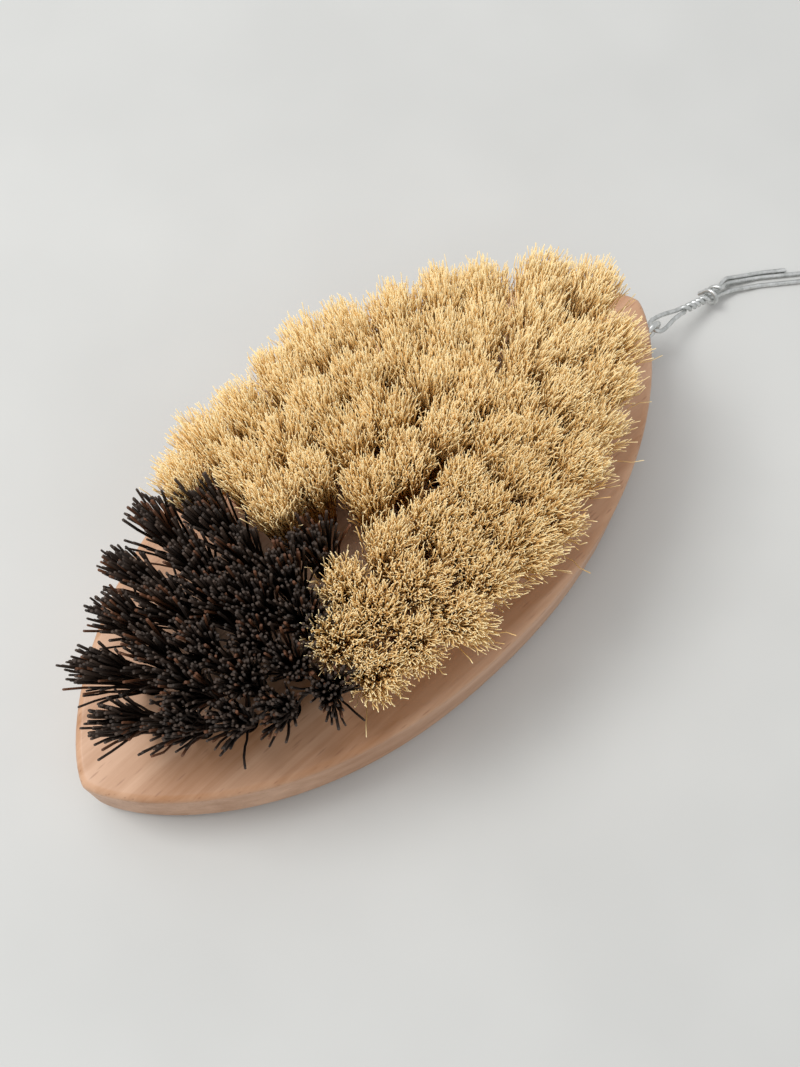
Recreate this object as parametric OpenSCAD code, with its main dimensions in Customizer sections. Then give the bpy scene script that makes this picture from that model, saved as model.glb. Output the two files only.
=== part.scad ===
// Leaf-shaped two-fibre hand brush with a twisted wire hanger.
//
// The brush lies on its back. X runs along the block from the dark, stiff end (-X)
// to the hanging end (+X), +Y is the left side looking along +X, and +Z is the way
// the bristles point. The origin is in the middle of the flat back. Millimetres.

/* [Block] */
// Length of the block from tip to tip
block_l = 135; // [105:1:165]
// Width of the block across its middle
block_w = 63; // [50:1:78]
// Thickness of the block
block_t = 18; // [15:0.5:24]
// Rounding of the edge around the bristle face
face_round = 1.6; // [0.5:0.1:3]
// Rounding of the edge around the back
back_round = 3; // [1:0.5:6]
// Roundness of the outline towards the tips
leaf_p = 2.2; // [2:0.05:2.5]
// Fullness of the outline along the sides
leaf_q = 0.73; // [0.65:0.01:0.85]

/* [Tufts] */
// Diameter of a tuft hole
hole_d = 4; // [3:0.1:4.6]
// Depth of a tuft hole along its axis
hole_depth = 8; // [6:0.5:10]
// Height of the trimmed bristles above the face
tuft_h = 24; // [14:1:32]
// Diameter of a tuft's flared head
head_d = 6; // [4.6:0.1:6.2]
// Gap between a tuft or an anchor and the wood around it
fit_gap = 0.05; // [0.02:0.01:0.1]
// Lean of the outer tufts towards the tips, in degrees
fan_tip = 12; // [4:1:14]
// Lean of the outer tufts towards the sides, in degrees
fan_side = 14; // [4:1:16]

/* [Rows] */
// Distance from the block's side to the outer row
side_margin = 11.7; // [9:0.1:13]
// Distance from the dark tip to the outer row
dark_margin = 16; // [13:0.5:20]
// Distance from the hanging tip to the outer row
light_margin = 20; // [16:0.5:24]
// Distance between rows across the block
row_gap_side = 6.1; // [5.8:0.1:6.6]
// Distance between rows at the tips
row_gap_tip = 7.5; // [7:0.1:8.5]
// Spacing of the tufts along a row, which is rounded to an even number of tufts
tuft_pitch = 7.4; // [7.2:0.1:9]
// Shift of each row's first tuft along the row, in tuft spacings
row_shift = [0.12, 0.5, 0]; // [0:0.01:1]
// Spacing of the dark tufts along the centre line
centre_dark_pitch = 6.5; // [6.2:0.1:8]
// Spacing of the light tufts along the centre line
centre_light_pitch = 7.5; // [6.2:0.1:9]
// Distance from the ends of the centre row to the ends of the row around it
centre_margin = 10.5; // [9.5:0.5:14]

/* [Fibre change] */
// Distance from the dark tip to where the rows change from dark to light fibre
dark_reach = 49.5; // [41.5:0.5:59.5]
// Place along Y where the dark field reaches furthest
change_y = 3; // [-6:1:6]
// How fast the change falls back towards the sides, per millimetre squared
change_bow = 0.02; // [0:0.005:0.04]
// Distance from the dark tip to the last dark tuft on the centre line
centre_dark_reach = 55; // [51.5:0.5:58.5]
// Distance from the dark tip to the first light tuft on the centre line, beyond a strip of bare wood
centre_light_start = 66.5; // [65.5:0.5:73.5]

/* [Anchors] */
// How far the flat wire that pins each tuft bites into the wood at each end
anchor_bite = 0.6; // [0.3:0.1:0.7]
// Thickness of the flat wire
anchor_t = 0.4; // [0.3:0.05:0.6]
// Height of the flat wire
anchor_h = 1.8; // [1.2:0.1:2.4]
// Fibre folded under the anchor
anchor_lift = 0.9; // [0.6:0.1:1.4]

/* [Hanger eye] */
// Diameter of the screw eye's wire
eye_wire_d = 1.2; // [1:0.1:1.4]
// Inner diameter of the screw eye
eye_inner_d = 2.6; // [2.6:0.1:4]
// Distance of the screw eye from the centre line
eye_y = -4.2; // [-6:0.1:0]
// Space between the screw eye and the wood
eye_gap = 0.6; // [0.4:0.1:1.2]
// Length of the screw eye's shank in the wood
shank_l = 9; // [6:0.5:12]
// Depth of the thread on the shank
thread_depth = 0.3; // [0.15:0.05:0.4]
// Pitch of the thread
thread_pitch = 1.1; // [0.8:0.1:1.6]
// Length of the screw's point
point_l = 1.6; // [1:0.1:2.5]

/* [Hanger wire] */
// Diameter of the galvanised wire
wire_d = 0.9; // [0.7:0.05:1]
// Space between wire strands that lie together
wire_gap = 0.1; // [0.08:0.01:0.2]
// Play between the screw eye and the small loop through it
link_play = 0.45; // [0.4:0.05:0.8]
// Length of the small loop
link_l = 7.5; // [5:0.5:10]
// Length of the twist
twist_l = 7.5; // [7.5:0.5:10]
// Half turns of the twist, an odd number
half_turns = 5; // [3:2:7]
// Length of the wrap that closes the loop
wrap_l = 3; // [2.8:0.1:4]
// Length of the narrow neck between the wrap and the hanging loop
neck_l = 20; // [14:1:26]
// Space between the two strands of the neck
neck_gap = 0.9; // [0.6:0.1:1.6]
// Length of the cut tail beside the neck
tail_l = 16; // [8:1:20]
// Length of the stretch over which the hanging loop opens
open_l = 12; // [9:1:16]
// Inner width of the hanging loop
loop_w = 10; // [8:0.5:14]
// Sideways turn of the wire close to the eye, in degrees
near_turn = -7; // [-12:1:12]
// Sideways turn of the hanging loop, in degrees
far_turn = -36; // [-45:1:45]

/* [Hidden] */
$fn = 48;

// Smoothness of the outline, its rounded edges and the rows
OUTLINE_STEPS = 96;
ROUND_STEPS = 5;
ROW_STEPS = 720;
OUTER = 0;
SECOND = 1;
THIRD = 2;
LEFT = 1;
RIGHT = -1;

// ---- The leaf outline and the rows that follow it ----

function leaf_point(t, al, ar, b) =
    let (c = cos(t))
    [(c < 0 ? al : ar) * c, sign(sin(t)) * b * pow(max(0, 1 - pow(abs(c), leaf_p)), leaf_q)];

// A closed loop from the dark tip, along the left side, round the hanging tip and back
function leaf(al, ar, b, steps) =
    [for (i = [0 : steps]) leaf_point(180 - 360 * i / steps, al, ar, b)];

// Distance along the X axis to the outline's edge at a given y
function leaf_x(y) =
    block_l / 2 * pow(1 - pow(abs(y) / (block_w / 2), 1 / leaf_q), 1 / leaf_p);

function row_dark_l(k) = block_l / 2 - dark_margin - k * row_gap_tip;
function row_light_l(k) = block_l / 2 - light_margin - k * row_gap_tip;
function row_half_w(k) = block_w / 2 - side_margin - k * row_gap_side;
function row_path(k) = leaf(row_dark_l(k), row_light_l(k), row_half_w(k), ROW_STEPS);

function travelled(p) =
    [for (i = 0, s = 0; i < len(p); s = s + norm(p[min(i + 1, len(p) - 1)] - p[i]), i = i + 1) s];
function wrap_into(s, whole) = s - whole * floor(s / whole);

// Centres of the tufts of one row, evenly spaced along it
function row_points(k) =
    let (
        p = row_path(k),
        s = travelled(p),
        whole = s[len(s) - 1],
        count = 2 * floor(whole / tuft_pitch / 2),
        x_at = [for (i = [0 : len(p) - 1]) [s[i], p[i].x]],
        y_at = [for (i = [0 : len(p) - 1]) [s[i], p[i].y]]
    )
    [for (i = [0 : count - 1])
        let (d = wrap_into((i - row_shift[k]) * whole / count, whole))
        [lookup(d, x_at), lookup(d, y_at)]];

dark_tip_x = -block_l / 2;
change_x = dark_tip_x + dark_reach;
centre_dark_x = dark_tip_x + centre_dark_reach;
centre_light_x = dark_tip_x + centre_light_start;

function is_dark(p) = p.x < change_x - change_bow * pow(p.y - change_y, 2);
function on_side(p, side) = side > 0 ? p.y >= 0 : p.y < 0;

centre_dark = [for (x = [centre_dark_x : -centre_dark_pitch : centre_margin - row_dark_l(THIRD)]) [x, 0]];
centre_light = [for (x = [centre_light_x : centre_light_pitch : row_light_l(THIRD) - centre_margin]) [x, 0]];
outer_points = row_points(OUTER);
second_points = row_points(SECOND);
third_points = row_points(THIRD);
all_points = concat(outer_points, second_points, third_points, centre_dark, centre_light);

// ---- Block ----

function inset_leaf(d) = leaf(block_l / 2 - d, block_l / 2 - d, block_w / 2 - d, OUTLINE_STEPS);

// A ring of points on the outline, inset by d, at height z
function ring_at(z, d) =
    let (p = inset_leaf(d))
    [for (i = [0 : OUTLINE_STEPS - 1]) [p[i].x, p[i].y, z]];

// The solid block: straight sides between a rounded back edge and a rounded face edge
module blank() {
    arc = [for (i = [0 : ROUND_STEPS]) 90 * i / ROUND_STEPS];
    rings = concat(
        [for (i = [ROUND_STEPS : -1 : 0]) ring_at(back_round * (1 - sin(arc[i])), back_round * (1 - cos(arc[i])))],
        [for (a = arc) ring_at(block_t - face_round * (1 - sin(a)), face_round * (1 - cos(a)))]
    );
    n = OUTLINE_STEPS;
    top = (len(rings) - 1) * n;
    polyhedron(
        points = [for (ring = rings) for (p = ring) p],
        faces = concat(
            [[for (i = [n - 1 : -1 : 0]) i], [for (i = [0 : n - 1]) top + i]],
            [for (r = [0 : len(rings) - 2]) for (i = [0 : n - 1])
                let (low = r * n, next = (i + 1) % n)
                for (face = [[low + i, low + next, low + n + next], [low + i, low + n + next, low + n + i]]) face]
        )
    );
}

// Puts a tuft's own frame, with its mouth at the origin, on the face at a point
module at_tuft(p) {
    translate([p.x, p.y, block_t])
        rotate([-fan_side * p.y / row_half_w(OUTER), fan_tip * p.x / row_dark_l(OUTER), 0])
            children();
}

anchor_l = hole_d + 2 * anchor_bite;

module anchor_blank(grow) {
    translate([0, 0, anchor_lift - hole_depth + anchor_h / 2])
        cube([anchor_l + 2 * grow, anchor_t + 2 * grow, anchor_h + 2 * grow], center = true);
}

module block() {
    color("#cda98c") difference() {
        blank();
        for (p = all_points) at_tuft(p) {
            translate([0, 0, -hole_depth]) cylinder(d = hole_d, h = hole_depth + face_round);
            anchor_blank(fit_gap);
        }
        translate([eye_x - eye_reach - shank_l - fit_gap, eye_y, eye_z]) rotate([0, 90, 0])
            cylinder(d = eye_wire_d + 2 * fit_gap, h = shank_l + eye_reach);
    }
}

// ---- Tufts: a root in its hole, folded round the anchor, and a flared head cut level ----

root_d = hole_d - 2 * fit_gap;
trim_over = head_d;

module tuft(p) {
    difference() {
        at_tuft(p) difference() {
            union() {
                translate([0, 0, fit_gap - hole_depth]) cylinder(d = root_d, h = hole_depth - fit_gap);
                cylinder(d1 = root_d, d2 = head_d, h = tuft_h);
                translate([0, 0, tuft_h]) cylinder(d = head_d, h = trim_over / 2);
            }
            anchor_blank(fit_gap);
        }
        translate([p.x - trim_over * 2, p.y - trim_over * 2, block_t + tuft_h])
            cube([trim_over * 4, trim_over * 4, trim_over]);
    }
}

module dark_tufts(points) {
    color("#2a1d17") for (p = points) if (is_dark(p)) tuft(p);
}
module light_tufts(points) {
    color("#d8b277") for (p = points) if (!is_dark(p)) tuft(p);
}
function of_side(points, side) = [for (p = points) if (on_side(p, side)) p];

module dark_outer_left() { dark_tufts(of_side(outer_points, LEFT)); }
module dark_outer_right() { dark_tufts(of_side(outer_points, RIGHT)); }
module dark_second_left() { dark_tufts(of_side(second_points, LEFT)); }
module dark_second_right() { dark_tufts(of_side(second_points, RIGHT)); }
module dark_third_left() { dark_tufts(of_side(third_points, LEFT)); }
module dark_third_right() { dark_tufts(of_side(third_points, RIGHT)); }
module dark_centre() { color("#2a1d17") for (p = centre_dark) tuft(p); }
module light_outer_left() { light_tufts(of_side(outer_points, LEFT)); }
module light_outer_right() { light_tufts(of_side(outer_points, RIGHT)); }
module light_second_left() { light_tufts(of_side(second_points, LEFT)); }
module light_second_right() { light_tufts(of_side(second_points, RIGHT)); }
module light_third_left() { light_tufts(of_side(third_points, LEFT)); }
module light_third_right() { light_tufts(of_side(third_points, RIGHT)); }
module light_centre() { color("#d8b277") for (p = centre_light) tuft(p); }

// ---- Anchors: one piece of flat wire across the bottom of each hole ----

module anchors(points) {
    color("silver") for (p = points) at_tuft(p) anchor_blank(0);
}
module anchors_outer() { anchors(outer_points); }
module anchors_second() { anchors(second_points); }
module anchors_third() { anchors(third_points); }
module anchors_centre() { anchors(concat(centre_dark, centre_light)); }

// ---- Hanger eye: a ring on a threaded shank, upright, screwed into the hanging tip ----

eye_mid_r = (eye_inner_d + eye_wire_d) / 2;
eye_outer_r = eye_inner_d / 2 + eye_wire_d;
eye_x = leaf_x(eye_y) + eye_gap + eye_outer_r;
eye_z = block_t / 2;
// From the ring's centre to the wood, where the thread begins
eye_reach = eye_outer_r + eye_gap;
core_d = eye_wire_d - 2 * thread_depth;
thread_turns = floor((shank_l - point_l) / thread_pitch);

module hanger_eye() {
    color("gainsboro") translate([eye_x, eye_y, eye_z]) {
        rotate([90, 0, 0]) rotate_extrude() translate([eye_mid_r, 0]) circle(d = eye_wire_d);
        rotate([0, -90, 0]) {
            translate([0, 0, eye_mid_r]) cylinder(d = core_d, h = eye_reach - eye_mid_r + shank_l - point_l);
            for (i = [0 : thread_turns - 1]) translate([0, 0, eye_reach + i * thread_pitch]) {
                cylinder(d1 = core_d, d2 = eye_wire_d, h = thread_pitch / 2);
                translate([0, 0, thread_pitch / 2]) cylinder(d1 = eye_wire_d, d2 = core_d, h = thread_pitch / 2);
            }
            translate([0, 0, eye_reach + shank_l - point_l]) cylinder(d1 = core_d, d2 = core_d / 4, h = point_l);
        }
    }
}

// ---- Hanger wire: one piece of wire, from its cut tail to its cut wrap ----
//
// Its course is set out along a middle line that leaves the eye, drops to the
// surface that the brush lies on and turns sideways. u is the distance along that
// line, v the offset to its left and w the offset above it.

WIRE_SIDES = 8;
wire_r = wire_d / 2;
// Height of the wire's middle where it lies, just clear of the surface
lie_z = wire_r + 0.02;
link_r = (eye_wire_d + wire_d) / 2 + link_play;
start_x = eye_x + eye_mid_r;
strand_v = (wire_d + wire_gap) / 2;
wrap_r = strand_v + wire_d + wire_gap;
twist_u = link_l;
wrap_u = twist_u + twist_l;
neck_u = wrap_u + wrap_l;
open_u = neck_u + neck_l;
loop_r = (loop_w + wire_d) / 2;
loop_u = open_u + open_l;
neck_v = (wire_d + neck_gap) / 2;
tail_v = neck_v + wire_d + 2 * wire_gap;
// Length over which the strands part beyond the wrap
part_l = 4;
// The wire drops evenly to flat_u, a little beyond the wrap, and lies level from lie_u on
DROP_LEAD = 1;
SETTLE_L = 8;
flat_u = neck_u + DROP_LEAD;
lie_u = flat_u + SETTLE_L;
drop = 2 * (eye_z - lie_z) / (flat_u + lie_u);
// The sideways turn close to the eye starts at turn_u and ends at turned_u
turn_u = 2;
turned_u = 5;
MIDDLE_STEP = 0.25;

function ease(t) = let (k = min(1, max(0, t))) k * k * (3 - 2 * k);
function mix(a, b, t) = a + (b - a) * ease(t);

function turn(u) =
    near_turn * ease((u - turn_u) / (turned_u - turn_u))
    + (far_turn - near_turn) * ease((u - flat_u) / (lie_u - flat_u));
function height(u) =
    eye_z - drop * (u < flat_u ? u
        : u < lie_u ? u - pow(u - flat_u, 2) / (2 * (lie_u - flat_u))
        : (flat_u + lie_u) / 2);
function fall(u) =
    drop * (u < flat_u ? 1 : u < lie_u ? 1 - (u - flat_u) / (lie_u - flat_u) : 0);

middle_u = [for (u = [0 : MIDDLE_STEP : loop_u + loop_r]) u];
middle_x = [for (i = 0, x = start_x; i < len(middle_u);
    x = x + MIDDLE_STEP * cos(turn(middle_u[min(i, len(middle_u) - 1)])), i = i + 1) [middle_u[i], x]];
middle_y = [for (i = 0, y = eye_y; i < len(middle_u);
    y = y + MIDDLE_STEP * sin(turn(middle_u[min(i, len(middle_u) - 1)])), i = i + 1) [middle_u[i], y]];

// A point of the wire from its place along, beside and above the middle line
function wire_point(u, v, w) =
    let (
        a = turn(u),
        beside = [-sin(a), cos(a), 0],
        ahead = [cos(a), sin(a), -fall(u)] / norm([1, fall(u)]),
        above = cross(ahead, beside),
        on_line = [lookup(u, middle_x) + min(u, 0), lookup(u, middle_y), height(u)]
    )
    on_line + v * beside + w * above;

// The twist starts and ends a little slacker than its middle
TWIST_SLACK = 0.04;
function strand_angle(u) =
    let (t = (u - twist_u) / twist_l) 180 * half_turns * (t - TWIST_SLACK * sin(360 * t));
function twist_point(u, phase) =
    wire_point(u, strand_v * cos(strand_angle(u) + phase), strand_v * sin(strand_angle(u) + phase));

TWIST_POINTS = 26;
LINK_POINTS = 6;
BEND_POINTS = 8;
WRAP_POINTS = 22;
LOOP_POINTS = 16;
PART_POINTS = 5;
// The wrap leaves the neck in line with it and then turns faster
WRAP_EASE = 1.5;
// Angle that the wrap winds round the neck, in degrees
WRAP_ANGLE = 450;
// Place of the tail's last bend but one, as a share of its length
TAIL_BEND = 0.7;

tail_path = concat(
    [for (u = [neck_u + tail_l, neck_u + tail_l * TAIL_BEND]) wire_point(u, tail_v, 0)],
    [for (i = [PART_POINTS : -1 : 0])
        wire_point(neck_u + part_l * i / PART_POINTS, mix(strand_v, tail_v, i / PART_POINTS), 0)]);
twist_back = [for (i = [0 : TWIST_POINTS]) twist_point(wrap_u - twist_l * i / TWIST_POINTS, 180)];
link_back = [for (i = [1 : LINK_POINTS - 1])
    wire_point(link_l * (1 - i / LINK_POINTS), -mix(strand_v, link_r, i / LINK_POINTS), 0)];
link_bend = [for (i = [0 : BEND_POINTS])
    let (a = 180 * i / BEND_POINTS) wire_point(-link_r * sin(a), -link_r * cos(a), 0)];
link_out = [for (i = [1 : LINK_POINTS - 1])
    wire_point(link_l * i / LINK_POINTS, mix(link_r, strand_v, i / LINK_POINTS), 0)];
twist_out = [for (i = [0 : TWIST_POINTS]) twist_point(twist_u + twist_l * i / TWIST_POINTS, 0)];
first_side = concat(
    [for (i = [0 : PART_POINTS])
        wire_point(neck_u + part_l * i / PART_POINTS, -mix(strand_v, neck_v, i / PART_POINTS), 0)],
    [for (u = [neck_u + neck_l / 2, open_u]) wire_point(u, -neck_v, 0)]);
opening = [for (i = [1 : LINK_POINTS - 1]) i / LINK_POINTS];
loop_first = [for (t = opening) wire_point(open_u + open_l * t, -mix(neck_v, loop_r, t), 0)];
loop_far = [for (i = [0 : LOOP_POINTS])
    let (a = 180 * i / LOOP_POINTS) wire_point(loop_u + loop_r * sin(a), -loop_r * cos(a), 0)];
loop_second = [for (t = opening) wire_point(loop_u - open_l * t, mix(loop_r, neck_v, t), 0)];
second_side = concat(
    [for (u = [open_u, neck_u + neck_l / 2]) wire_point(u, neck_v, 0)],
    [for (i = [0 : PART_POINTS - 1])
        wire_point(neck_u + part_l * (1 - i / PART_POINTS), mix(neck_v, 0, i / PART_POINTS),
            mix(0, wrap_r, i / PART_POINTS))]);
wrap_path = [for (i = [0 : WRAP_POINTS])
    let (a = 90 - WRAP_ANGLE * pow(i / WRAP_POINTS, WRAP_EASE))
    wire_point(neck_u - wrap_l * i / WRAP_POINTS, wrap_r * cos(a), wrap_r * sin(a))];
wire_end = [wire_point(wrap_u - wire_r / 2, wrap_r + wire_r, -wire_d)];
wire_path = concat(tail_path, twist_back, link_back, link_bend, link_out, twist_out,
    first_side, loop_first, loop_far, loop_second, second_side, wrap_path, wire_end);

function unit(v) = v / norm(v);
function headings(p) =
    [for (i = [0 : len(p) - 1]) unit(p[min(i + 1, len(p) - 1)] - p[max(i - 1, 0)])];
function square_to(n, t) = unit(n - (n * t) * t);
function carried(t) =
    [for (i = 0, n = square_to([0, 0, 1], t[0]); i < len(t);
        n = square_to(n, t[min(i + 1, len(t) - 1)]), i = i + 1) n];

// A closed tube of the wire's diameter along a list of points
module tube(p) {
    t = headings(p);
    n = carried(t);
    last = len(p) - 1;
    polyhedron(
        points = [for (i = [0 : last], j = [0 : WIRE_SIDES - 1])
            let (a = 360 * j / WIRE_SIDES) p[i] + wire_r * (cos(a) * n[i] + sin(a) * cross(t[i], n[i]))],
        faces = concat(
            [[for (j = [0 : WIRE_SIDES - 1]) j]],
            [for (i = [0 : last - 1], j = [0 : WIRE_SIDES - 1])
                let (k = (j + 1) % WIRE_SIDES, a = i * WIRE_SIDES, b = (i + 1) * WIRE_SIDES)
                [a + j, b + j, b + k, a + k]],
            [[for (j = [WIRE_SIDES - 1 : -1 : 0]) last * WIRE_SIDES + j]]
        )
    );
}

module hanger_wire() {
    color("darkgray") tube(wire_path);
}

block();
dark_outer_left();
dark_outer_right();
dark_second_left();
dark_second_right();
dark_third_left();
dark_third_right();
dark_centre();
light_outer_left();
light_outer_right();
light_second_left();
light_second_right();
light_third_left();
light_third_right();
light_centre();
anchors_outer();
anchors_second();
anchors_third();
anchors_centre();
hanger_eye();
hanger_wire();
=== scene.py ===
"""Looks of a leaf-shaped two-fibre hand brush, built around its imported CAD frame.

The brush lies on its back on a pale table, bristles up. Sizes in the classes are in
millimetres and degrees; meshes are in metres, in the frame's own axes.
"""

import logging
import math
from dataclasses import dataclass, field
from enum import Enum
from typing import Any, Mapping, Optional, Sequence

import bmesh
import bpy
import numpy as np
from mathutils import Matrix, Vector


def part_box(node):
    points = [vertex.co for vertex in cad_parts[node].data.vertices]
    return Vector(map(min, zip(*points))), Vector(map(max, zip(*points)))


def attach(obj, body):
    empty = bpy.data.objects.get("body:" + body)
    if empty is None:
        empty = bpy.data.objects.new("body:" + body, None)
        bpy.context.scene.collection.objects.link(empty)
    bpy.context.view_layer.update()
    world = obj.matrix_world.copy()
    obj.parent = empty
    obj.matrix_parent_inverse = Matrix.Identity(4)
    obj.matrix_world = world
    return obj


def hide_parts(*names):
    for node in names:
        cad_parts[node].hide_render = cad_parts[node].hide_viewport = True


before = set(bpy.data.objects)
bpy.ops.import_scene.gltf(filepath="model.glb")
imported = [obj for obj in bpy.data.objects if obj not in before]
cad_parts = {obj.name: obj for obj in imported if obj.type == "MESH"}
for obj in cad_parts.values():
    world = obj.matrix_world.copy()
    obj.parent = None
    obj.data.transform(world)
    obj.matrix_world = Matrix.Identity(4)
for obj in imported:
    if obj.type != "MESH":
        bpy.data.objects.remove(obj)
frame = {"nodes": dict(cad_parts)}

MM = 0.001
SEED = 1935
FIBRE_MAP = "OFBake"
log = logging.getLogger("hand_brush")


# ---- Colours and nodes ----


def linear(code: str) -> tuple[float, float, float, float]:
    """Turns an sRGB hex colour into the linear colour that shaders use.

    Args:
        code: The colour, such as "#cda98c".

    Returns:
        Red, green, blue and alpha, linear.
    """
    parts = [int(code[i : i + 2], 16) / 255 for i in (1, 3, 5)]
    red, green, blue = (
        c / 12.92 if c <= 0.04045 else ((c + 0.055) / 1.055) ** 2.4 for c in parts
    )
    return red, green, blue, 1.0


def add_node(
    tree: bpy.types.NodeTree,
    kind: str,
    settings: Optional[Mapping[str, Any]] = None,
    inputs: Optional[Mapping[Any, Any]] = None,
) -> bpy.types.Node:
    """Adds one node with its settings, values and links.

    Args:
        tree: The node tree that it goes into.
        kind: The node's type, such as "ShaderNodeTexNoise".
        settings: Its properties by name. "stops" gives a colour ramp's positions and hex colours.
        inputs: What goes into its sockets, by name or place: a value, a hex colour or another
            node's output.

    Returns:
        The new node.
    """
    node = tree.nodes.new(kind)
    for name, value in (settings or {}).items():
        if name == "stops":
            ramp = node.color_ramp
            while len(ramp.elements) < len(value):
                ramp.elements.new(1.0)
            for element, (place, code) in zip(ramp.elements, value):
                element.position = place
                element.color = linear(code)
        else:
            setattr(node, name, value)
    for name, value in (inputs or {}).items():
        if isinstance(value, bpy.types.NodeSocket):
            tree.links.new(value, node.inputs[name])
        else:
            node.inputs[name].default_value = linear(value) if isinstance(value, str) else value
    return node


def new_material(name: str) -> tuple[bpy.types.Material, bpy.types.NodeTree]:
    """Makes an empty node material.

    Args:
        name: The finish's plain name.

    Returns:
        The material and its node tree.
    """
    material = bpy.data.materials.new(name)
    material.use_nodes = True
    material.node_tree.nodes.clear()
    return material, material.node_tree


def finish_with(tree: bpy.types.NodeTree, shader: bpy.types.Node) -> None:
    """Links a shader to the material's surface.

    Args:
        tree: The material's node tree.
        shader: The shader.
    """
    add_node(tree, "ShaderNodeOutputMaterial", inputs={"Surface": shader.outputs[0]})


# ---- Finishes ----


@dataclass(frozen=True)
class SandedBeech:
    """Steamed beech, planed, sanded and lightly oiled: a warm pink-beige, nearly plain, with
    faint growth bands and the short dark ray flecks that tell beech from other pale woods."""

    pale: str = "#cca283"
    dark: str = "#a77650"
    fleck: str = "#96674a"
    band_mm: float = 5.0
    fleck_length_mm: float = 2.4
    fleck_width_mm: float = 0.35
    roughness: float = 0.43

    def material(self) -> bpy.types.Material:
        """Builds the wood, its grain running along the block.

        Returns:
            The material.
        """
        material, tree = new_material("sanded_beech")
        place = add_node(tree, "ShaderNodeTexCoord").outputs["Object"]
        band_size = self.band_mm * MM
        fleck_width = self.fleck_width_mm * MM
        bands = add_node(
            tree,
            "ShaderNodeMapping",
            inputs={"Vector": place, "Scale": (0.06 / band_size, 1 / band_size, 0.6 / band_size)},
        )
        band = add_node(
            tree,
            "ShaderNodeTexNoise",
            inputs={
                "Vector": bands.outputs[0],
                "Scale": 1.0,
                "Detail": 5.0,
                "Roughness": 0.62,
                "Distortion": 0.35,
            },
        )
        tone = add_node(
            tree,
            "ShaderNodeValToRGB",
            {"stops": [(0.30, self.dark), (0.62, self.pale)]},
            {"Fac": band.outputs["Fac"]},
        )
        rays = add_node(
            tree,
            "ShaderNodeMapping",
            inputs={
                "Vector": place,
                "Scale": (1 / (self.fleck_length_mm * MM), 1 / fleck_width, 1 / fleck_width),
            },
        )
        ray = add_node(
            tree,
            "ShaderNodeTexVoronoi",
            {"feature": "F1"},
            {"Vector": rays.outputs[0], "Scale": 0.42, "Randomness": 1.0},
        )
        mark = add_node(
            tree,
            "ShaderNodeValToRGB",
            {"stops": [(0.10, "#ffffff"), (0.24, "#000000")]},
            {"Fac": ray.outputs["Distance"]},
        )
        share = add_node(
            tree,
            "ShaderNodeMath",
            {"operation": "MULTIPLY"},
            {0: mark.outputs[0], 1: 0.55},
        )
        colour = add_node(
            tree,
            "ShaderNodeMix",
            {"data_type": "RGBA"},
            {"Factor": share.outputs[0], "A": tone.outputs[0], "B": self.fleck},
        )
        fine = add_node(
            tree,
            "ShaderNodeTexNoise",
            inputs={"Vector": rays.outputs[0], "Scale": 1.0, "Detail": 3.0, "Roughness": 0.6},
        )
        relief = add_node(
            tree,
            "ShaderNodeBump",
            inputs={"Strength": 0.25, "Distance": 0.05 * MM, "Height": fine.outputs["Fac"]},
        )
        sheen = add_node(
            tree,
            "ShaderNodeMapRange",
            inputs={
                "Value": fine.outputs["Fac"],
                "To Min": self.roughness - 0.08,
                "To Max": self.roughness + 0.10,
            },
        )
        shader = add_node(
            tree,
            "ShaderNodeBsdfPrincipled",
            inputs={
                "Base Color": colour.outputs["Result"],
                "Roughness": sheen.outputs[0],
                "IOR": 1.45,
                "Normal": relief.outputs[0],
            },
        )
        finish_with(tree, shader)
        return material


@dataclass(frozen=True)
class PlantFibre:
    """Cut plant fibre. The map's U picks a fibre's own tone, so that no two neighbours match,
    and its V runs from the root to the cut end."""

    name: str
    root: str
    middle: str
    tip: str
    odd: str
    cut: str
    odd_share: float
    tone_spread: float
    roughness: float
    ior: float

    def material(self) -> bpy.types.Material:
        """Builds the fibre's colour along its length and its tone from fibre to fibre.

        Returns:
            The material.
        """
        material, tree = new_material(self.name)
        place = add_node(tree, "ShaderNodeUVMap", {"uv_map": FIBRE_MAP})
        split = add_node(tree, "ShaderNodeSeparateXYZ", inputs={0: place.outputs[0]})
        # Colour from root to cut end. In tampico the amber root end is painted glow, standing in for light
        # that passes through the fibres deep in the tuft.
        along = add_node(
            tree,
            "ShaderNodeValToRGB",
            {
                "stops": [
                    (0.0, self.root),
                    (0.45, self.middle),
                    (SIDE_SHARE - 0.02, self.tip),
                    (SIDE_SHARE + 0.02, self.cut),
                ]
            },
            {"Fac": split.outputs["Y"]},
        )
        own = add_node(
            tree,
            "ShaderNodeTexWhiteNoise",
            {"noise_dimensions": "1D"},
            {"W": add_node(
                tree,
                "ShaderNodeMath",
                {"operation": "FLOOR"},
                {0: add_node(
                    tree,
                    "ShaderNodeMath",
                    {"operation": "MULTIPLY"},
                    {0: split.outputs["X"], 1: float(TONES)},
                ).outputs[0]},
            ).outputs[0]},
        )
        is_odd = add_node(
            tree,
            "ShaderNodeMath",
            {"operation": "LESS_THAN"},
            {0: own.outputs["Value"], 1: self.odd_share},
        )
        tinted = add_node(
            tree,
            "ShaderNodeMix",
            {"data_type": "RGBA"},
            {"Factor": is_odd.outputs[0], "A": along.outputs[0], "B": self.odd},
        )
        level = add_node(
            tree,
            "ShaderNodeMapRange",
            inputs={
                "Value": own.outputs["Value"],
                "To Min": 1 - self.tone_spread,
                "To Max": 1 + self.tone_spread,
            },
        )
        toned = add_node(
            tree,
            "ShaderNodeHueSaturation",
            inputs={"Value": level.outputs[0], "Color": tinted.outputs["Result"]},
        )
        shader = add_node(
            tree,
            "ShaderNodeBsdfPrincipled",
            inputs={
                "Base Color": toned.outputs[0],
                "Roughness": self.roughness,
                "IOR": self.ior,
            },
        )
        finish_with(tree, shader)
        return material


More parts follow.
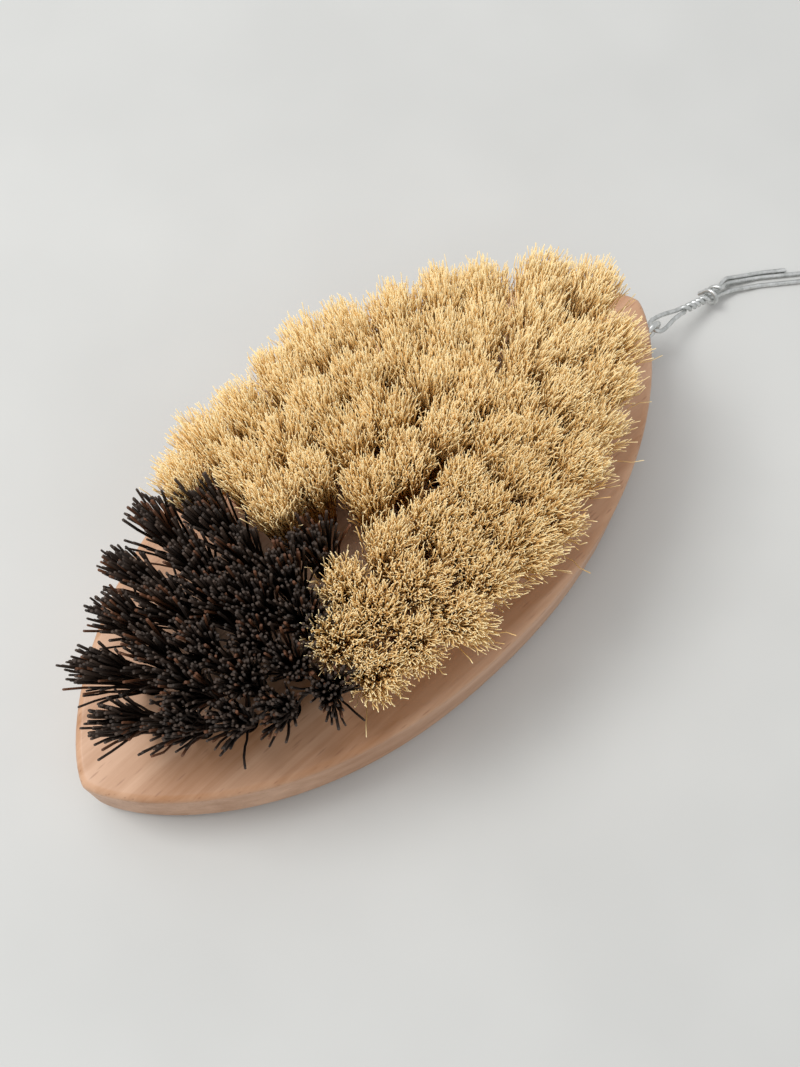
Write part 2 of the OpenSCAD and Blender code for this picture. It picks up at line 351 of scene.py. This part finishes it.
@dataclass(frozen=True)
class SteelWire:
    """Drawn steel wire with a zinc coat: a cool grey metal, its bright spots broken up by the
    coat's fine spangle and by dull patches where it has been handled."""

    name: str
    bright: str
    dull: str
    roughness: float
    patch_mm: float

    def material(self) -> bpy.types.Material:
        """Builds the metal with its patchy coat.

        Returns:
            The material.
        """
        material, tree = new_material(self.name)
        place = add_node(tree, "ShaderNodeTexCoord").outputs["Object"]
        patches = add_node(
            tree,
            "ShaderNodeTexNoise",
            inputs={"Vector": place, "Scale": 1 / (self.patch_mm * MM), "Detail": 4.0, "Roughness": 0.65},
        )
        colour = add_node(
            tree,
            "ShaderNodeValToRGB",
            {"stops": [(0.35, self.dull), (0.65, self.bright)]},
            {"Fac": patches.outputs["Fac"]},
        )
        rough = add_node(
            tree,
            "ShaderNodeMapRange",
            inputs={
                "Value": patches.outputs["Fac"],
                "To Min": self.roughness + 0.14,
                "To Max": self.roughness - 0.08,
            },
        )
        relief = add_node(
            tree,
            "ShaderNodeBump",
            inputs={"Strength": 0.3, "Distance": 0.03 * MM, "Height": patches.outputs["Fac"]},
        )
        shader = add_node(
            tree,
            "ShaderNodeBsdfPrincipled",
            inputs={
                "Base Color": colour.outputs[0],
                "Metallic": 1.0,
                "Roughness": rough.outputs[0],
                "Normal": relief.outputs[0],
            },
        )
        finish_with(tree, shader)
        return material


@dataclass(frozen=True)
class PaleTable:
    """A painted table top: off-white and almost matt, with faint wide unevenness."""

    pale: str = "#c7c7c5"
    shade: str = "#c1c1bf"
    patch_mm: float = 60.0
    roughness: float = 0.6

    def material(self) -> bpy.types.Material:
        """Builds the table's paint.

        Returns:
            The material.
        """
        material, tree = new_material("painted_table")
        place = add_node(tree, "ShaderNodeTexCoord").outputs["Object"]
        patches = add_node(
            tree,
            "ShaderNodeTexNoise",
            inputs={"Vector": place, "Scale": 1 / (self.patch_mm * MM), "Detail": 3.0, "Roughness": 0.5},
        )
        colour = add_node(
            tree,
            "ShaderNodeValToRGB",
            {"stops": [(0.35, self.shade), (0.65, self.pale)]},
            {"Fac": patches.outputs["Fac"]},
        )
        shader = add_node(
            tree,
            "ShaderNodeBsdfPrincipled",
            inputs={"Base Color": colour.outputs[0], "Roughness": self.roughness, "IOR": 1.45},
        )
        finish_with(tree, shader)
        return material


# Bassine is a stiff palm-leaf fibre: near black-brown with a dull waxy shine, its cut ends a
# dusty grey-brown, and a few stalks left reddish.
BASSINE = PlantFibre(
    name="bassine_fibre",
    root="#24150c",
    middle="#281a11",
    tip="#2c1f16",
    odd="#7d4c2c",
    cut="#35281f",
    odd_share=0.14,
    tone_spread=0.6,
    roughness=0.72,
    ior=1.45,
)
# Tampico is a soft agave fibre, pale straw at the ends. The deep amber towards the root end is painted
# glow: it stands in for light that passes through and bounces among the fibres deep in the tuft.
TAMPICO = PlantFibre(
    name="tampico_fibre",
    # root: painted glow, the amber of light passed through the fibres deep in the tuft
    root="#ecac57",
    middle="#fac873",
    tip="#fee6b2",
    odd="#f7d090",
    cut="#feecc4",
    odd_share=0.12,
    tone_spread=0.05,
    roughness=0.85,
    ior=1.35,
)
GALVANISED = SteelWire("galvanised_wire", bright="#e2e3e2", dull="#babcba", roughness=0.34, patch_mm=1.4)
ZINC_PLATE = SteelWire("zinc_plated_steel", bright="#e4e4e2", dull="#c4c6c4", roughness=0.28, patch_mm=1.0)
ANCHOR_WIRE = SteelWire("bright_anchor_wire", bright="#c8c8c6", dull="#a9a9a7", roughness=0.3, patch_mm=0.8)


# ---- Meshes ----

# Corners of a mesh that are nearer than this are one corner
WELD = 0.0005 * MM


def smooth_copy(node: bpy.types.Object, name: str, sharp_degrees: float) -> bpy.types.Object:
    """Copies a CAD node with its curved faces shaded smooth and its edges kept crisp.

    Args:
        node: The CAD node.
        name: The new piece's name.
        sharp_degrees: Faces that meet at more than this angle keep a crisp edge.

    Returns:
        The new piece, in the same place.
    """
    mesh = bpy.data.meshes.new(name)
    work = bmesh.new()
    work.from_mesh(node.data)
    bmesh.ops.remove_doubles(work, verts=work.verts, dist=WELD)
    for face in work.faces:
        face.smooth = True
    limit = math.radians(sharp_degrees)
    for edge in work.edges:
        edge.smooth = edge.calc_face_angle(0.0) < limit
    work.to_mesh(mesh)
    work.free()
    piece = bpy.data.objects.new(name, mesh)
    bpy.context.scene.collection.objects.link(piece)
    flat = piece.modifiers.new("even_faces", "WEIGHTED_NORMAL")
    flat.keep_sharp = True
    flat.weight = 100
    return piece


def set_material(piece: bpy.types.Object, material: bpy.types.Material) -> None:
    """Gives a piece one material all over."""
    piece.data.materials.clear()
    piece.data.materials.append(material)


# How much a tuft's place along the block counts towards the way it leans outward
LENGTHWISE_SHARE = 0.35
# How far below a tuft's highest corner its head's rim may lie, and above its lowest its root's
HEAD_RIM = 0.02 * MM
ROOT_RIM = 0.25 * MM


@dataclass(frozen=True)
class Tuft:
    """One tuft of the frame: where its middle leaves the wood, and which way it points."""

    mouth: np.ndarray
    axis: np.ndarray

    def across(self) -> tuple[np.ndarray, np.ndarray]:
        """Finds two directions square to the tuft.

        Returns:
            One that points away from the block's long middle line, and one square to it.
        """
        out = np.array([self.mouth[0] * LENGTHWISE_SHARE, self.mouth[1], 0.0])
        if np.linalg.norm(out) < MM:
            out = np.array([0.0, 1.0, 0.0])
        out = out - self.axis * float(out @ self.axis)
        out /= np.linalg.norm(out)
        return out, np.cross(self.axis, out)


def islands(mesh: bpy.types.Mesh) -> list[np.ndarray]:
    """Splits a mesh into its separate solids.

    Args:
        mesh: The mesh of a node with several solids.

    Returns:
        The corner points of each solid.
    """
    work = bmesh.new()
    work.from_mesh(mesh)
    bmesh.ops.remove_doubles(work, verts=work.verts, dist=WELD)
    unseen = set(work.verts)
    found = []
    while unseen:
        edge_of_search = [unseen.pop()]
        points = []
        while edge_of_search:
            vertex = edge_of_search.pop()
            points.append(tuple(vertex.co))
            for edge in vertex.link_edges:
                other = edge.other_vert(vertex)
                if other in unseen:
                    unseen.remove(other)
                    edge_of_search.append(other)
        found.append(np.array(points))
    work.free()
    return sorted(found, key=lambda p: tuple(p.mean(0)))


def find_tufts(node: bpy.types.Object, face_z: float) -> list[Tuft]:
    """Reads the tufts of a CAD node: the line from the middle of each root to its head.

    Args:
        node: The CAD node of one run of tufts.
        face_z: Height of the block's bristle face.

    Returns:
        The tufts, in a steady order.
    """
    tufts = []
    for points in islands(node.data):
        top = points[points[:, 2] > points[:, 2].max() - HEAD_RIM]
        head = (top.min(0) + top.max(0)) / 2
        root = points.mean(0)
        for _ in range(3):
            axis = (head - root) / np.linalg.norm(head - root)
            depth = points @ axis
            root = points[depth < depth.min() + ROOT_RIM].mean(0)
        axis = (head - root) / np.linalg.norm(head - root)
        tufts.append(Tuft(mouth=root + axis * (face_z - root[2]) / axis[2], axis=axis))
    return tufts


class Side(Enum):
    """Where a tuft lies in the field, which sets how freely its fibres splay."""

    EDGE = "outer"
    INSIDE = "inside"


# A fibre's sides take the map's V up to SIDE_SHARE and its cut end the rest. Its tone is one of
# TONES strips along U.
SIDE_SHARE = 0.94
TONES = 48
# How far the tufts that are held in by others follow the way the field is combed
INNER_GIVE = 0.35
# A fibre's sides take this share of its strip's width, and its cut end this much each way
STRIP_SHARE = 0.7
CUT_SHARE = 0.3
# The map's margin in V, the middle of the root end in it, and how V crowds towards the root
MAP_MARGIN = 0.01
ROOT_END_V = 0.015
V_CROWDING = 0.8
# Each fibre of a tuft is turned from the last by the golden angle, which fills a round hole
# evenly. It is this many half turns.
GOLDEN_HALF_TURNS = 3 - math.sqrt(5)
# How far each tuft's spread, and each fibre's values, may lie from those of their kind, as shares
SPREAD_RANGE = (0.9, 1.1)
GATHER_RANGE = (0.3, 1.0)
STRAY_RANGE = (1.3, 1.9)
SPLAY_RANGE = (0.2, 1.3)
CRINKLE_LENGTH_RANGE = (0.7, 1.4)
CRINKLE_RANGE = (0.4, 1.5)
THICKNESS_RANGE = (0.8, 1.2)
# Places where fibres gather lie this far from the tuft's middle, as a share of its spread
GATHER_SPREAD = 0.55
# No fibre stands taller than this above the trim, in millimetres
TALLEST_OVER = 1.6


@dataclass(frozen=True)
class FibreKind:
    """How fibres of one kind fill a tuft and spread from it, in millimetres and degrees.

    A tuft has count fibres, each with a number of frays, its split ends, that start at fray_from
    of its length. The fibres fill hole_radius at the root and head_radius at the trim, or
    edge_radius where the field is free on that side, and the outer ones splay by edge_splay.
    Their ends scatter by lean_scatter and length_scatter, a share of them stray, and they gather
    towards a number of clumps. The head is domed. The field is combed to one side, and tufts
    differ by their unevenness. A fibre curls outward, crinkles once in each crinkle_length, and
    its width falls to taper of itself.
    """

    slot: str
    count: int
    frays: int
    fray_from: float
    thickness: float
    sides: int
    steps: int
    step_crowding: float
    hole_radius: float
    root_depth: float
    head_radius: float
    edge_radius: float
    edge_splay: float
    lean_scatter: float
    stray_share: float
    length_scatter: float
    dome: float
    clumps: int
    clumping: float
    combed: tuple[float, float]
    unevenness: float
    curl: float
    crinkle: float
    crinkle_length: float
    taper: float


BASSINE_TUFT = FibreKind(
    slot="dark_fibre",
    count=84,
    frays=0,
    fray_from=0.0,
    thickness=0.48,
    sides=5,
    steps=5,
    step_crowding=0.8,
    hole_radius=1.6,
    root_depth=3.0,
    head_radius=4.4,
    edge_radius=2.8,
    edge_splay=1.6,
    lean_scatter=2.8,
    stray_share=0.08,
    length_scatter=1.5,
    dome=1.6,
    clumps=4,
    clumping=0.4,
    combed=(-1.5, 1.1),
    unevenness=0.6,
    curl=0.9,
    crinkle=0.14,
    crinkle_length=14.0,
    taper=0.95,
)
TAMPICO_TUFT = FibreKind(
    slot="light_fibre",
    count=165,
    frays=2,
    fray_from=0.42,
    thickness=0.18,
    sides=3,
    steps=8,
    step_crowding=0.6,
    hole_radius=1.8,
    root_depth=2.5,
    head_radius=5.1,
    edge_radius=4.9,
    edge_splay=1.3,
    lean_scatter=2.3,
    stray_share=0.04,
    length_scatter=1.3,
    dome=1.8,
    clumps=5,
    clumping=0.4,
    combed=(-1.0, 1.3),
    unevenness=0.6,
    curl=0.9,
    crinkle=0.27,
    crinkle_length=6.2,
    taper=0.95,
)


@dataclass(frozen=True)
class Tubes:
    """Closed tubes: their points, side faces, end faces and the map's corners on both."""

    points: np.ndarray
    walls: np.ndarray
    caps: np.ndarray
    wall_map: np.ndarray
    cap_map: np.ndarray


@dataclass(frozen=True)
class Habit:
    """How one tuft differs from the rest: its spread, lean, height and where its fibres gather."""

    spread: float
    lean: np.ndarray
    lift: float
    centres: np.ndarray


@dataclass
class Tufting:
    """The fibres of one run of tufts, as one piece that stands for the CAD node of that run."""

    node_name: str
    kind: FibreKind
    side: Side
    seed: int
    face_z: float
    top_z: float
    material: bpy.types.Material

    def habit_of(self, tuft: Tuft, random: np.random.Generator) -> Habit:
        """Draws how one tuft differs from the rest.

        Args:
            tuft: The tuft.
            random: The run's own source of randomness.

        Returns:
            The tuft's habit.
        """
        kind = self.kind
        out, beside = tuft.across()
        combed = np.array([*kind.combed, 0.0])
        is_edge = self.side is Side.EDGE
        facing = (1 + out @ combed / np.linalg.norm(combed)) / 2 if is_edge else 0.0
        lean = np.array([combed @ out, combed @ beside]) * max(facing, INNER_GIVE)
        radius = kind.head_radius + (kind.edge_radius - kind.head_radius) * facing
        spread = radius * random.uniform(*SPREAD_RANGE)
        return Habit(
            spread=spread,
            lean=lean + random.normal(0, kind.unevenness, 2),
            lift=random.normal(0, kind.unevenness),
            centres=random.normal(0, spread * GATHER_SPREAD, (kind.clumps, 2)),
        )

    def fibre_paths(
        self, tuft: Tuft, habit: Habit, n: int, steps: int, start: float, random: np.random.Generator
    ) -> np.ndarray:
        """Lays fibres, or the split ends of fibres, in one tuft.

        Args:
            tuft: The tuft that they fill.
            habit: How the tuft differs from the rest.
            n: How many there are.
            steps: How many steps each one's line has.
            start: Where they start, as a share of their length: 0 for the root.
            random: The run's own source of randomness.

        Returns:
            Their middle lines, fibre by fibre and step by step, in metres.
        """
        kind = self.kind
        share = np.sqrt((np.arange(n) + random.uniform(0.2, 0.8, n)) / n)
        angle = np.arange(n) * math.pi * GOLDEN_HALF_TURNS + random.uniform(-0.4, 0.4, n)
        unit = np.stack([np.cos(angle), np.sin(angle)], 1)
        base = unit * share[:, None] * kind.hole_radius

        height = (self.top_z - self.face_z) / MM
        reach = height / tuft.axis[2]
        spread = habit.spread
        tip = unit * share[:, None] * spread
        nearest = np.argmin(np.linalg.norm(tip[:, None] - habit.centres[None], axis=2), axis=1)
        gather = (habit.centres[nearest] - tip) * kind.clumping
        tip += gather * random.uniform(*GATHER_RANGE, (n, 1))
        tip += random.normal(0, math.tan(math.radians(kind.lean_scatter)) * reach, (n, 2))
        stray = random.random(n) < kind.stray_share
        tip[stray] *= random.uniform(*STRAY_RANGE, (int(stray.sum()), 1))
        if self.side is Side.EDGE:
            outward = np.clip(tip[:, :1] / spread, 0, 1.2)
            tip[:, :1] += kind.edge_splay * outward * random.uniform(*SPLAY_RANGE, (n, 1))
        far = np.linalg.norm(tip, axis=1) / spread
        tip += habit.lean
        length = reach + habit.lift - kind.dome * far**2 + random.normal(0, kind.length_scatter, n)
        length = np.minimum(length, reach + TALLEST_OVER)

        t = start + (1 - start) * np.linspace(0, 1, steps + 1)[None] ** kind.step_crowding
        s = -kind.root_depth + t * (length[:, None] + kind.root_depth)
        up = np.clip(s / length[:, None], 0, 1)
        lateral = base[:, None] + (tip - base)[:, None] * up[..., None]
        heading = tip / np.maximum(np.linalg.norm(tip, axis=1, keepdims=True), 1e-6)
        lateral += heading[:, None] * (kind.curl * (up**3 - up))[..., None] * far[:, None, None]
        wave = kind.crinkle_length * random.uniform(*CRINKLE_LENGTH_RANGE, (n, 1, 2))
        phase = random.uniform(0, 2 * math.pi, (n, 1, 2))
        size = kind.crinkle * random.uniform(*CRINKLE_RANGE, (n, 1, 2)) * np.clip(up * 3, 0, 1)[..., None]
        lateral += size * np.sin(2 * math.pi * s[..., None] / wave + phase)

        out, beside = tuft.across()
        offset = s[..., None] * tuft.axis + lateral[..., :1] * out + lateral[..., 1:] * beside
        return tuft.mouth + offset * MM

    def build(self, node: bpy.types.Object) -> bpy.types.Object:
        """Makes the piece, parents it to the brush's body and hides the CAD node.

        Args:
            node: The CAD node that it stands for.

        Returns:
            The new piece.
        """
        random = np.random.default_rng(self.seed)
        kind = self.kind
        tufts = find_tufts(node, self.face_z)
        parts = [(kind.count, kind.steps, 0.0)]
        if kind.frays:
            parts.append((kind.count * kind.frays, kind.steps // 2, kind.fray_from))
        tubes = []
        habits = [self.habit_of(t, random) for t in tufts]
        for count, steps, start in parts:
            paths = np.concatenate([
                self.fibre_paths(t, habit, count, steps, start, random) for t, habit in zip(tufts, habits)
            ])
            squares = np.concatenate(
                [np.repeat(np.stack(t.across())[None], count, axis=0) for t in tufts]
            )
            tubes.append(self.tubes(paths, squares, start, random))
        piece = self.piece_of(tubes)
        set_material(piece, self.material)
        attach(piece, "brush")
        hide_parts(self.node_name)
        log.info("%s: %d tufts, %d faces", piece.name, len(tufts), len(piece.data.polygons))
        return piece

    def tubes(
        self, paths: np.ndarray, squares: np.ndarray, start: float, random: np.random.Generator
    ) -> Tubes:
        """Works out closed tubes along the fibres.

        Args:
            paths: The fibres' middle lines.
            squares: Two directions square to each fibre.
            start: Where the lines start, as a share of the fibres' length.
            random: The run's own source of randomness.

        Returns:
            The tubes' points, faces and map.
        """
        kind = self.kind
        count, rings, sides = paths.shape[0], paths.shape[1], kind.sides
        turn = 2 * math.pi * np.arange(sides) / sides
        cosine, sine = np.cos(turn)[None, :, None], np.sin(turn)[None, :, None]
        ring = cosine * squares[:, None, 0] + sine * squares[:, None, 1]
        radius = kind.thickness / 2 * MM * random.uniform(*THICKNESS_RANGE, (count, 1))
        radius = radius * np.linspace(1, kind.taper, rings)[None]
        points = paths[:, :, None] + radius[..., None, None] * ring[:, None]

        first = np.arange(count)[:, None, None] * rings * sides
        low = first + np.arange(rings - 1)[None, :, None] * sides
        here, following = np.arange(sides), (np.arange(sides) + 1) % sides
        walls = np.stack([low + here, low + following, low + sides + following, low + sides + here], -1)
        walls = walls.reshape(-1, 4)
        caps = np.concatenate([
            (first[:, 0] + here[::-1]),
            (first[:, 0] + (rings - 1) * sides + here),
        ])

        tone = (random.integers(0, TONES, count) + 0.5) / TONES
        across = (np.arange(sides + 1) / sides - 0.5) * STRIP_SHARE / TONES
        v = np.linspace(start, 1, rings) ** V_CROWDING * (SIDE_SHARE - MAP_MARGIN)
        u_low = np.broadcast_to(tone[:, None, None] + across[None, None, :-1], (count, rings - 1, sides))
        u_high = np.broadcast_to(tone[:, None, None] + across[None, None, 1:], (count, rings - 1, sides))
        v_low = np.broadcast_to(v[None, :-1, None], (count, rings - 1, sides))
        v_high = np.broadcast_to(v[None, 1:, None], (count, rings - 1, sides))
        wall_map = np.stack([u_low, v_low, u_high, v_low, u_high, v_high, u_low, v_high], -1).reshape(-1, 2)
        cap_u = tone[:, None] + np.cos(turn)[None] * CUT_SHARE / TONES
        cap_v = np.sin(turn)[None] * MAP_MARGIN * np.ones((count, 1))
        root_map = np.stack([cap_u[:, ::-1], ROOT_END_V + cap_v[:, ::-1]], -1).reshape(-1, 2)
        end_map = np.stack([cap_u, (1 + SIDE_SHARE) / 2 + cap_v], -1).reshape(-1, 2)

        return Tubes(points.reshape(-1, 3), walls, caps, wall_map, np.concatenate([root_map, end_map]))

    def piece_of(self, parts: Sequence[Tubes]) -> bpy.types.Object:
        """Makes one mesh of several sets of tubes.

        Args:
            parts: The tubes.

        Returns:
            The new object, with the fibre map.
        """
        firsts = np.cumsum([0] + [len(p.points) for p in parts[:-1]])
        walls = np.concatenate([p.walls + first for p, first in zip(parts, firsts)])
        caps = np.concatenate([p.caps + first for p, first in zip(parts, firsts)])
        corners = np.concatenate([walls.ravel(), caps.ravel()])
        sizes = np.concatenate([np.full(len(walls), 4), np.full(len(caps), self.kind.sides)])
        uv = np.concatenate([p.wall_map for p in parts] + [p.cap_map for p in parts])
        points = np.concatenate([p.points for p in parts])
        name = f"{self.node_name}_fibres"
        mesh = bpy.data.meshes.new(name)
        mesh.vertices.add(len(points))
        mesh.vertices.foreach_set("co", points.ravel().astype(np.float32))
        mesh.loops.add(len(corners))
        mesh.loops.foreach_set("vertex_index", corners.astype(np.int32))
        mesh.polygons.add(len(sizes))
        starts = np.concatenate([[0], np.cumsum(sizes)[:-1]])
        mesh.polygons.foreach_set("loop_start", starts.astype(np.int32))
        mesh.update(calc_edges=True)
        mesh.polygons.foreach_set("use_smooth", np.arange(len(sizes)) < len(walls))
        fibre_map = mesh.uv_layers.new(name=FIBRE_MAP)
        fibre_map.data.foreach_set("uv", uv.ravel().astype(np.float32))
        mesh.validate()
        piece = bpy.data.objects.new(name, mesh)
        bpy.context.scene.collection.objects.link(piece)
        return piece


# ---- Sub-assemblies ----


@dataclass
class Block:
    """The beech block, with its tuft holes."""

    nodes: Mapping[str, bpy.types.Object]
    finish: SandedBeech = field(default_factory=SandedBeech)
    sharp_degrees: float = 32.0

    def build(self) -> None:
        """Makes the block's piece from its CAD node."""
        piece = smooth_copy(self.nodes["block"], "beech_block", self.sharp_degrees)
        set_material(piece, self.finish.material())
        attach(piece, "brush")
        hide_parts("block")
        log.info("%s: %d faces", piece.name, len(piece.data.polygons))


@dataclass
class BristleField:
    """Both fibres, in four rows round the outline."""

    nodes: Mapping[str, bpy.types.Object]
    rows: Sequence[str] = (
        "outer_left",
        "outer_right",
        "second_left",
        "second_right",
        "third_left",
        "third_right",
        "centre",
    )

    def build(self) -> None:
        """Makes one piece of fibres for each run of tufts."""
        face_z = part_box("block")[1].z
        number = SEED
        for prefix, kind, finish in (
            ("dark", BASSINE_TUFT, BASSINE),
            ("light", TAMPICO_TUFT, TAMPICO),
        ):
            material = finish.material()
            for row in self.rows:
                name = f"{prefix}_{row}"
                side = Side.EDGE if row.startswith(Side.EDGE.value) else Side.INSIDE
                number += 1
                top_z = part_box(name)[1].z
                Tufting(name, kind, side, number, face_z, top_z, material).build(self.nodes[name])


@dataclass
class Metalwork:
    """The anchors in the wood, the screw eye and the wire that the brush hangs by."""

    nodes: Mapping[str, bpy.types.Object]
    sharp_degrees: float = 50.0

    def build(self) -> None:
        """Dresses the anchors and makes the eye's and the wire's pieces."""
        anchor = ANCHOR_WIRE.material()
        for name in ("anchors_outer", "anchors_second", "anchors_third", "anchors_centre"):
            set_material(self.nodes[name], anchor)
            log.info("%s: dressed", name)
        for name, body, finish, slot in (
            ("hanger_eye", "brush", ZINC_PLATE, "zinc_plated_steel"),
            ("hanger_wire", "hanger", GALVANISED, "galvanised_wire"),
        ):
            piece = smooth_copy(self.nodes[name], f"{name}_smooth", self.sharp_degrees)
            set_material(piece, finish.material())
            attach(piece, body)
            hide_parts(name)
            log.info("%s: %d faces", piece.name, len(piece.data.polygons))


# ---- Stage ----


@dataclass(frozen=True)
class Viewpoint:
    """Where the camera stands: its angles to the table, its distance from the point it looks at,
    and its lens."""

    elevation: float = 70.68
    azimuth: float = -46.65
    roll: float = 3.62
    distance_mm: float = 267.6
    target_mm: tuple[float, float] = (6.4, 0.74)
    lens_mm: float = 47.24
    sensor_mm: float = 36.0

    def axes(self) -> tuple[Vector, Vector, Vector]:
        """Works out the camera's directions.

        Returns:
            Its right, up and backward directions.
        """
        a, e, r = (math.radians(v) for v in (self.azimuth, self.elevation, self.roll))
        back = Vector((math.sin(a) * math.cos(e), -math.cos(a) * math.cos(e), math.sin(e)))
        right = (-back).cross(Vector((0, 0, 1))).normalized()
        up = right.cross(-back)
        return (
            right * math.cos(r) + up * math.sin(r),
            up * math.cos(r) - right * math.sin(r),
            back,
        )

    def build(self) -> None:
        """Makes the camera."""
        right, up, back = self.axes()
        data = bpy.data.cameras.new("camera")
        data.lens = self.lens_mm
        data.sensor_width = self.sensor_mm
        data.clip_start = 0.01
        camera = bpy.data.objects.new("camera", data)
        turn = Matrix((right, up, back)).transposed()
        place = Vector((*self.target_mm, 0)) * MM + back * self.distance_mm * MM
        camera.matrix_world = Matrix.Translation(place) @ turn.to_4x4()
        bpy.context.scene.collection.objects.link(camera)
        bpy.context.scene.camera = camera


@dataclass(frozen=True)
class SoftPanel:
    """A square of soft light that faces the brush."""

    name: str
    azimuth: float
    elevation: float
    distance: float
    size: float
    power: float
    tint: str

    def build(self) -> None:
        """Makes the light."""
        a, e = math.radians(self.azimuth), math.radians(self.elevation)
        towards = Vector((math.cos(a) * math.cos(e), math.sin(a) * math.cos(e), math.sin(e)))
        data = bpy.data.lights.new(self.name, "AREA")
        data.shape = "SQUARE"
        data.size = self.size
        data.energy = self.power
        data.color = linear(self.tint)[:3]
        light = bpy.data.objects.new(self.name, data)
        light.location = towards * self.distance
        light.rotation_euler = towards.to_track_quat("Z", "Y").to_euler()
        bpy.context.scene.collection.objects.link(light)


@dataclass
class Stage:
    """The table, the light and the camera."""

    table_size: float = 4.0
    room_tint: str = "#f8f9f9"
    room_strength: float = 0.72
    view: Viewpoint = field(default_factory=Viewpoint)
    panels: Sequence[SoftPanel] = (
        SoftPanel("window", azimuth=128, elevation=61, distance=0.95, size=0.36, power=4.6, tint="#fdfdfb"),
        SoftPanel("ceiling", azimuth=92, elevation=77, distance=1.2, size=0.9, power=3.0, tint="#fafcff"),
    )

    def build(self) -> None:
        """Sets out the stage around the brush."""
        half = self.table_size / 2
        mesh = bpy.data.meshes.new("table")
        corners = [(-half, -half, 0), (half, -half, 0), (half, half, 0), (-half, half, 0)]
        mesh.from_pydata(corners, [], [(0, 1, 2, 3)])
        table = bpy.data.objects.new("table", mesh)
        bpy.context.scene.collection.objects.link(table)
        set_material(table, PaleTable().material())

        world = bpy.data.worlds.new("room")
        world.use_nodes = True
        world.node_tree.nodes.clear()
        glow = add_node(
            world.node_tree,
            "ShaderNodeBackground",
            inputs={"Color": self.room_tint, "Strength": self.room_strength},
        )
        add_node(world.node_tree, "ShaderNodeOutputWorld", inputs={"Surface": glow.outputs[0]})
        bpy.context.scene.world = world
        for panel in self.panels:
            panel.build()
        self.view.build()
        bpy.context.scene.view_settings.view_transform = "Standard"
        log.info("stage: table, %d lights, camera", len(self.panels))


def main() -> None:
    """Builds the brush piece by piece, then its stage."""
    logging.basicConfig(level=logging.INFO, format="%(name)s: %(message)s")
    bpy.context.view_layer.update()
    nodes = frame["nodes"]
    Block(nodes).build()
    BristleField(nodes).build()
    Metalwork(nodes).build()
    Stage().build()


if __name__ == "__main__":
    main()
